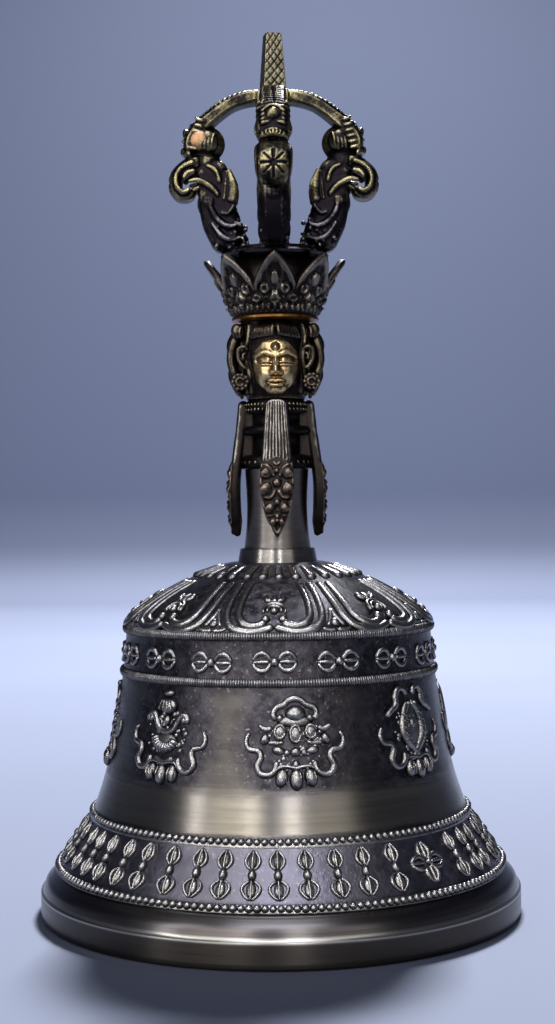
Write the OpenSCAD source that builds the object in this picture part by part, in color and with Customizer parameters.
// Tibetan hand bell: a cast bell with a hanging clapper, and a handle that ends in a closed
// five-pronged vajra. Up is +Z, the face on the handle looks towards -Y, and the origin is
// the centre of the plane that the lip rests on. Millimetres.

/* [Bell] */
// Outer radius of the lip
lip_r = 46.5; // [45:0.5:50]
// Height of the plain lip, up to the groove above it
lip_h = 8.6; // [7.6:0.2:9]
// Thickness of the lip at the face it rests on
lip_t = 4.6; // [3.6:0.2:5.6]
// Radius of the wall at the lower bead ring
flare_r = 43.0; // [42:0.5:44]
// Height of the lower bead ring
flare_z = 9.8; // [9.4:0.2:10.4]
// Radius of the wall at the upper bead ring
hem_r = 36.4; // [35.5:0.5:37.5]
// Height of the upper bead ring
hem_z = 19.8; // [19:0.2:21]
// Radius of the wall at the polished waist
waist_r = 33.4; // [32.5:0.5:34]
// Height of the polished waist
waist_z = 29; // [27:0.5:31]
// Radius of the wall at the lower milled ring
drum_r = 30.3; // [29.5:0.5:31]
// Height of the lower milled ring
drum_z = 46.7; // [45:0.5:48]
// Radius of the wall at the upper milled ring
shoulder_r = 29.6; // [29:0.5:30]
// Height of the upper milled ring
shoulder_z = 55; // [54:0.5:56]
// Height of the crown of the bell
bell_h = 67.4; // [66.8:0.2:68.4]
// Wall thickness of the bell
wall = 2.8; // [2.4:0.2:3.2]
// Radius of the beads in the two bead rings
bead_r = 0.6; // [0.4:0.1:0.8]

/* [Clapper] */
// Radius of the striker
striker_r = 6.6; // [5.5:0.2:7]
// Height of the middle of the striker
striker_z = 14.5; // [13:0.5:17]
// Radius of the wire of the clapper's rod
rod_r = 1.6; // [1.2:0.1:1.8]
// Radius of the wire of the ring that the clapper hangs on
link_wire_r = 0.9; // [0.8:0.05:1]
// Radius of that ring, to the middle of its wire
link_r = 3.2; // [3.1:0.1:3.4]
// Radius of the wire of the fixed eye
eye_wire_r = 1.0; // [0.8:0.1:1]
// Radius of the eye and of the rod's loop, to the middle of the wire
eye_r = 3.0; // [2.9:0.1:3.2]
// Gap between two wires that hang in each other
hang_gap = 0.15; // [0.1:0.05:0.3]

/* [Handle] */
// Radius of the collar on the bell's crown
collar_r = 7.75; // [7.2:0.1:8.4]
// Height of the top of that collar
collar_top = 70.1; // [69.5:0.2:70.9]
// Radius of the neck at its foot
neck_r = 6.5; // [6:0.1:7]
// Height of the top of the neck
neck_top = 85.4; // [84:0.2:86]
// Radius of the grip's core
core_r = 5.0; // [4.5:0.1:5.4]
// Radius of the rings round the grip
grip_ring_r = 7.1; // [6.6:0.1:7.4]
// Height of the foot of the head
head_bottom = 98.9; // [98:0.2:100]
// Height of the top of the head
head_top = 114; // [113:0.5:115]
// Radius of the head behind the face
skull_r = 7.8; // [7:0.1:8.4]
// Radius of the brim over the head
brim_r = 8.5; // [8:0.1:9]
// Thickness of the brim
brim_t = 1.2; // [0.8:0.1:1.6]
// Thickness of the hanging ribbons
streamer_t = 2; // [1.6:0.1:2.4]

/* [Crown and vajra] */
// Radius of the crown at the tips of its leaves
leaf_tip_r = 14.2; // [13:0.2:15]
// Height of the tips of the leaves
leaf_tip_z = 126.3; // [125:0.2:127]
// Number of leaves
leaf_count = 8; // [6:1:10]
// Radius of the seat under the prongs
seat_r = 10.6; // [10:0.2:11.4]
// Height of the underside of the seat
seat_z = 126; // [125:0.2:127]
// Thickness of the seat
seat_t = 2.2; // [1.8:0.2:3]
// Width of the prongs where they are widest
prong_w = 6.6; // [5:0.2:7]
// Height of the middle of the prongs' upper end
prong_top = 157.3; // [155:0.5:158]
// Reach of the scrolls on the prongs from the middle
scroll_reach = 20.5; // [19.5:0.5:22]
// Width of the square bar in the middle
bar_w = 4; // [3:0.2:4.4]
// Height of the tip of the square bar
tip_z = 170.4; // [168:0.2:175]

/* [Hidden] */
$fn = 72;

bronze = "#5b5148";
old_brass = "#7c7556";
gilt = "#b08d45";
iron_brown = "#544a3c";

// Steps in each stretch of a smooth outline
spline_steps = 5;

// Crown of the bell, where the handle is bolted on
crown_r = 9;
boss_r = 7.6;
boss_z = bell_h - 4.1;
bolt_r = 2;
bolt_hole_r = 2.15;
bolt_top = head_bottom - 3;

// Washer and nut under the crown
washer_r = 6.2;
washer_t = 0.8;
nut_r = 4.6;
nut_h = 3;
washer_z = boss_z - washer_t;
nut_z = washer_z - nut_h;

// The chain that the clapper hangs on, from the top down: each height is the middle of a wire
eye_z = nut_z - 1.8 - eye_r;
link_top_z = eye_z - eye_r + eye_wire_r + link_wire_r + hang_gap;
link_z = link_top_z - link_r;
loop_top_z = link_z - link_r + 2 * link_wire_r + hang_gap;
loop_z = loop_top_z - eye_r;
rod_grip = 8;

// Grip, from the lower ring up
ring_low_z = neck_top + 0.2;
ring_mid_z = neck_top + 6.9;
ring_high_z = neck_top + 11;
grip_top = head_bottom;
tang_r = 1.8;
tang_z = head_top - 9;

// Crown and vajra
crown_z = head_top + brim_t;
notch_z = 121.5;
seat_top = seat_z + seat_t;
hub_w = 6;
hub_z = prong_top - 2;
hub_top = prong_top + 1.9;
scroll_r = 3.7;
scroll_z = seat_top + 0.49 * (prong_top - seat_top);

// Length of a shape that only cuts, longer than anything it cuts
cut_l = 40;

// Height at a share of the way up a prong
function prong_at(share) = seat_top + share * (prong_top - seat_top);

// A point of the smooth curve through b and c, whose neighbours are a and d
function curve_point(a, b, c, d, t) =
    0.5 * (2 * b + (c - a) * t + (2 * a - 5 * b + 4 * c - d) * t * t
        + (3 * b - a - 3 * c + d) * t * t * t);

// The smooth curve through the points p
function curve(p) = concat(
    [for (i = [0 : len(p) - 2], k = [0 : spline_steps - 1])
        curve_point(p[max(i - 1, 0)], p[i], p[i + 1], p[min(i + 2, len(p) - 1)], k / spline_steps)],
    [p[len(p) - 1]]);

function reversed(p) = [for (i = [len(p) - 1 : -1 : 0]) p[i]];

// The direction square to the line p at its point i
function normal_at(p, i) =
    let (t = p[min(i + 1, len(p) - 1)] - p[max(i - 1, 0)])
    [t.y, -t.x] / norm(t);

// The line p moved sideways by a distance that grows from d0 at its start to d1 at its end
function moved(p, d0, d1) =
    [for (i = [0 : len(p) - 1])
        p[i] + normal_at(p, i) * (d0 + (d1 - d0) * i / (len(p) - 1))];

// Outside of the bell, from its crown down to the groove over the lip
outer_wall = curve([
    [crown_r + 2, bell_h - 0.4],
    [crown_r + 11, bell_h - 4.3],
    [shoulder_r - 3.3, shoulder_z + 4.3],
    [shoulder_r - 0.2, shoulder_z + 1.2],
    [shoulder_r + 0.1, shoulder_z - 2],
    [drum_r, drum_z],
    [(drum_r + waist_r) / 2 - 0.1, (drum_z + waist_z) / 2],
    [waist_r, waist_z],
    [hem_r, hem_z],
    [(hem_r + flare_r) / 2 - 0.4, (hem_z + flare_z) / 2 + 0.2],
    [flare_r, flare_z]
]);
outer_lip = [
    [flare_r + 0.8, lip_h - 0.2],
    [(flare_r + lip_r) / 2 + 0.6, lip_h - 1.5],
    [lip_r - 0.5, lip_h - 3.3],
    [lip_r - 0.1, lip_h - 3.7],
    [lip_r, lip_h - 4.1],
    [lip_r, 0.6]
];
inner_wall = moved(outer_wall, wall, wall + 0.4);

// A ring round the bell, with its middle at radius r and height z
module band(r, z, size) {
    rotate_extrude()
        translate([r, z])
            circle(r = size, $fn = 24);
}

module bell_shell() {
    color(bronze) {
        rotate_extrude()
            polygon(concat(
                [[bolt_hole_r, bell_h], [crown_r, bell_h]],
                outer_wall,
                [[flare_r + 0.1, lip_h + 0.1]],
                outer_lip,
                [[lip_r - 0.6, 0], [lip_r - lip_t, 0]],
                reversed(inner_wall),
                [[boss_r + 1.2, boss_z + 0.8], [boss_r, boss_z], [bolt_hole_r, boss_z]]));
        band(shoulder_r, shoulder_z, bead_r);
        band(drum_r, drum_z, bead_r);
        band(hem_r, hem_z, bead_r);
        band(flare_r, flare_z, bead_r);
    }
}

module base_collar() {
    color(old_brass)
        rotate_extrude()
            polygon([
                [bolt_hole_r, bell_h],
                [collar_r, bell_h],
                [collar_r - 0.45, collar_top - 0.2],
                [collar_r - 0.65, collar_top],
                [bolt_hole_r, collar_top]
            ]);
}

module neck_sleeve() {
    color(old_brass)
        rotate_extrude()
            polygon(concat(
                [[bolt_hole_r, collar_top]],
                curve([
                    [neck_r, collar_top],
                    [neck_r - 0.45, collar_top + 4],
                    [neck_r - 0.6, collar_top + 9],
                    [neck_r - 0.3, neck_top]
                ]),
                [[bolt_hole_r, neck_top]]));
}

// Outside of the grip as radius and height
grip_outline = [
    [neck_r - 0.3, neck_top],
    [grip_ring_r - 0.2, ring_low_z],
    [grip_ring_r, ring_low_z + 0.4],
    [grip_ring_r, ring_low_z + 1.9],
    [grip_ring_r - 0.5, ring_low_z + 2.5],
    [core_r, ring_low_z + 2.7],
    [core_r, ring_mid_z - 0.4],
    [grip_ring_r - 0.4, ring_mid_z - 0.2],
    [grip_ring_r, ring_mid_z + 0.6],
    [grip_ring_r - 0.4, ring_mid_z + 1.4],
    [core_r, ring_mid_z + 1.6],
    [core_r, ring_high_z - 0.2],
    [grip_ring_r - 0.4, ring_high_z],
    [grip_ring_r - 0.3, ring_high_z + 0.5],
    [grip_ring_r - 0.8, ring_high_z + 0.8],
    [grip_ring_r - 0.3, ring_high_z + 1.1],
    [grip_ring_r - 0.5, ring_high_z + 1.7],
    [core_r + 0.4, grip_top]
];

module grip_barrel() {
    color(iron_brown)
        difference() {
            rotate_extrude()
                polygon(concat([[0, neck_top]], grip_outline, [[0, grip_top]]));
            translate([0, 0, neck_top - 1])
                cylinder(r = bolt_r, h = bolt_top - neck_top + 1);
        }
}

// A ribbon that hangs from the head down the side of the grip, here on the -Y side
module streamer() {
    outer_side = curve([
        [6.9, head_bottom],
        [8, head_bottom - 5],
        [9.2, head_bottom - 11],
        [9.7, head_bottom - 16],
        [9.1, head_bottom - 21.5],
        [7.7, head_bottom - 25.8]
    ]);
    half_front = curve([
        [2, head_bottom],
        [2.8, head_bottom - 9],
        [3.3, head_bottom - 17],
        [2.5, head_bottom - 23]
    ]);
    color(iron_brown)
        difference() {
            intersection() {
                rotate([90, 0, -90])
                    linear_extrude(height = cut_l, center = true)
                        polygon(concat(outer_side, reversed(moved(outer_side, streamer_t, streamer_t))));
                rotate([90, 0, 0])
                    linear_extrude(height = cut_l)
                        polygon(concat(
                            half_front,
                            [[0, head_bottom - 28]],
                            [for (p = reversed(half_front)) [-p.x, p.y]]));
            }
            rotate_extrude()
                polygon(concat([[0, neck_top]], grip_outline, [[0, grip_top]]));
        }
}

module streamer_front() {
    streamer();
}

module streamer_right() {
    rotate([0, 0, 90])
        streamer();
}

module streamer_back() {
    rotate([0, 0, 180])
        streamer();
}

module streamer_left() {
    rotate([0, 0, 270])
        streamer();
}

// The head: skull and hair, the face in front, ears with round earrings, and knots of hair
module head() {
    face_z = head_bottom + 6.9;
    face_r = 5.2;
    face_y = -3.5;
    ear_x = skull_r - 0.7;
    color(gilt)
        difference() {
            union() {
                rotate_extrude()
                    polygon(concat(
                        [[0, head_bottom]],
                        curve([
                            [skull_r - 2, head_bottom],
                            [skull_r - 0.9, head_bottom + 3],
                            [skull_r, head_bottom + 8],
                            [skull_r, head_top - 4],
                            [skull_r - 0.8, head_top]
                        ]),
                        [[0, head_top]]));
                translate([0, face_y, 0])
                    rotate_extrude()
                        polygon(curve([
                            [0, face_z - 6.7],
                            [2.4, face_z - 6],
                            [4.5, face_z - 2.6],
                            [face_r, face_z + 1.5],
                            [4.4, face_z + 5.2],
                            [0, face_z + 7]
                        ]));
                for (side = [-1, 1]) {
                    translate([side * ear_x, -1.4, face_z])
                        rotate([0, 90, 0])
                            cylinder(r = 2, h = 1.6, center = true);
                    translate([side * ear_x, -1.8, face_z - 3.6])
                        rotate([0, 90, 0])
                            cylinder(r = 1.7, h = 1.8, center = true);
                    translate([side * (ear_x + 0.3), -0.4, head_top - 4.4])
                        sphere(r = 2.3, $fn = 24);
                }
            }
            translate([0, 0, tang_z])
                cylinder(r = tang_r, h = head_top - tang_z + 1);
        }
}

module crown_brim() {
    color(gilt)
        rotate_extrude()
            polygon([
                [tang_r, head_top],
                [brim_r - 0.6, head_top],
                [brim_r, head_top + 0.4],
                [brim_r, crown_z - 0.4],
                [brim_r - 0.4, crown_z],
                [tang_r, crown_z]
            ]);
}

// A crown of pointed leaves that flare outwards around a solid middle
module leaf_crown() {
    outside = curve([
        [brim_r - 0.3, crown_z],
        [brim_r + 1, crown_z + 3.6],
        [brim_r + 3, crown_z + 7.6],
        [leaf_tip_r, leaf_tip_z]
    ]);
    notch_angle = 180 / leaf_count;
    notch_w = 0.72 * leaf_tip_r * tan(notch_angle);
    color(iron_brown)
        difference() {
            rotate_extrude()
                polygon(concat(
                    [[tang_r, crown_z]],
                    outside,
                    [
                        [leaf_tip_r - 1.2, leaf_tip_z],
                        [seat_r - 0.6, notch_z + 1],
                        [seat_r - 0.9, notch_z + 1],
                        [seat_r - 0.9, seat_z],
                        [tang_r, seat_z]
                    ]));
            for (i = [0 : leaf_count - 1])
                rotate([0, 0, (2 * i + 1) * notch_angle])
                    translate([0, -seat_r + 0.6, 0])
                        rotate([90, 0, 0])
                            linear_extrude(height = leaf_tip_r)
                                polygon([
                                    [0, notch_z],
                                    [notch_w, leaf_tip_z + 1],
                                    [-notch_w, leaf_tip_z + 1]
                                ]);
        }
}

module lotus_seat() {
    step = 0.9;
    color(old_brass)
        rotate_extrude()
            polygon([
                [tang_r, seat_z],
                [seat_r - step, seat_z],
                [seat_r - 0.2, seat_z + 0.5],
                [seat_r, seat_z + 1],
                [seat_r - 0.4, seat_z + 1.4],
                [seat_r - step, seat_z + 1.5],
                [seat_r - step - 0.4, seat_top],
                [tang_r, seat_top]
            ]);
}

// Side of a prong as distance from the middle and height, on its outer and its inner face
prong_outer = curve([
    [10.9, seat_top],
    [13.5, prong_at(0.16)],
    [16.2, prong_at(0.35)],
    [17.6, prong_at(0.61)],
    [17.2, prong_at(0.77)],
    [13.4, prong_at(0.92)],
    [8.6, prong_top + 1.1],
    [hub_w / 2, prong_top + 1.7]
]);
prong_inner = curve([
    [5.4, seat_top],
    [6.9, prong_at(0.23)],
    [9.6, prong_at(0.44)],
    [11, prong_at(0.65)],
    [10.2, prong_at(0.8)],
    [7.2, prong_top - 2.2],
    [hub_w / 2, prong_top - 1.5]
]);

// An outer prong of the vajra with its beast's head and scroll, here on the -Y side
module prong() {
    head_r = 2.9;
    half_front = [
        [-2.4, seat_top],
        [-2.6, prong_at(0.2)],
        [-prong_w / 2, prong_at(0.37)],
        [-prong_w / 2, prong_at(0.78)],
        [-2.9, prong_at(0.92)],
        [-hub_w / 2, prong_top + 2]
    ];
    color(iron_brown)
        intersection() {
            rotate([90, 0, -90])
                linear_extrude(height = cut_l, center = true) {
                    polygon(concat(prong_outer, reversed(prong_inner)));
                    translate([scroll_reach - scroll_r, scroll_z])
                        circle(r = scroll_r, $fn = 40);
                    translate([scroll_reach - 3 - head_r, scroll_z + 7])
                        circle(r = head_r, $fn = 40);
                }
            rotate([90, 0, 0])
                linear_extrude(height = cut_l)
                    polygon(concat(half_front, [for (p = reversed(half_front)) [-p.x, p.y]]));
        }
}

module prong_front() {
    prong();
}

module prong_right() {
    rotate([0, 0, 90])
        prong();
}

module prong_back() {
    rotate([0, 0, 180])
        prong();
}

module prong_left() {
    rotate([0, 0, 270])
        prong();
}

// Square bar with the pointed tip above it, and the round tang that holds the crown together
module center_prong() {
    tip_foot_w = 4.4;
    tip_w = 3.1;
    color(old_brass) {
        translate([0, 0, tang_z])
            cylinder(r = tang_r, h = seat_top - tang_z);
        translate([-bar_w / 2, -bar_w / 2, seat_top])
            cube([bar_w, bar_w, hub_z - seat_top]);
        translate([-hub_w / 2, -hub_w / 2, hub_z])
            cube([hub_w, hub_w, hub_top - hub_z]);
        translate([0, 0, hub_top])
            rotate([0, 0, 45])
                cylinder(d1 = tip_foot_w * sqrt(2), d2 = tip_w * sqrt(2), h = tip_z - hub_top, $fn = 4);
    }
}

// A wire ring round the Y axis
module wire_ring(r, wire_r) {
    rotate([90, 0, 0])
        rotate_extrude()
            translate([r, 0])
                circle(r = wire_r, $fn = 24);
}

module tie_bolt() {
    color("silver") {
        translate([0, 0, eye_z + eye_r])
            cylinder(r = bolt_r, h = bolt_top - eye_z - eye_r);
        translate([0, 0, eye_z])
            wire_ring(eye_r, eye_wire_r);
    }
}

module tie_washer() {
    color("silver")
        translate([0, 0, washer_z])
            difference() {
                cylinder(r = washer_r, h = washer_t);
                translate([0, 0, -1])
                    cylinder(r = bolt_hole_r, h = washer_t + 2);
            }
}

module tie_nut() {
    color("silver")
        translate([0, 0, nut_z])
            difference() {
                cylinder(r = nut_r, h = nut_h, $fn = 6);
                translate([0, 0, -1])
                    cylinder(r = bolt_r, h = nut_h + 2);
            }
}

module clapper_link() {
    color("silver")
        translate([0, 0, link_z])
            rotate([0, 0, 90])
                wire_ring(link_r, link_wire_r);
}

module clapper_rod() {
    color("silver") {
        translate([0, 0, loop_z])
            wire_ring(eye_r, link_wire_r);
        translate([0, 0, striker_z])
            cylinder(r = rod_r, h = loop_z - eye_r - striker_z);
    }
}

module striker() {
    neck_z = striker_z + rod_grip;
    color(iron_brown)
        difference() {
            rotate_extrude()
                polygon(concat(
                    [[0, neck_z]],
                    curve([
                        [rod_r + 0.8, neck_z],
                        [rod_r + 1.4, neck_z - 2.2],
                        [striker_r - 0.7, striker_z + 2.4],
                        [striker_r, striker_z - 0.6],
                        [striker_r - 1.6, striker_z - 4.6],
                        [2, striker_z - 6.8]
                    ]),
                    [[0, striker_z - 6.8]]));
            translate([0, 0, striker_z])
                cylinder(r = rod_r, h = rod_grip + 1);
        }
}

bell_shell();
base_collar();
neck_sleeve();
grip_barrel();
streamer_front();
streamer_right();
streamer_back();
streamer_left();
head();
crown_brim();
leaf_crown();
lotus_seat();
prong_front();
prong_right();
prong_back();
prong_left();
center_prong();
tie_bolt();
tie_washer();
tie_nut();
clapper_link();
clapper_rod();
striker();
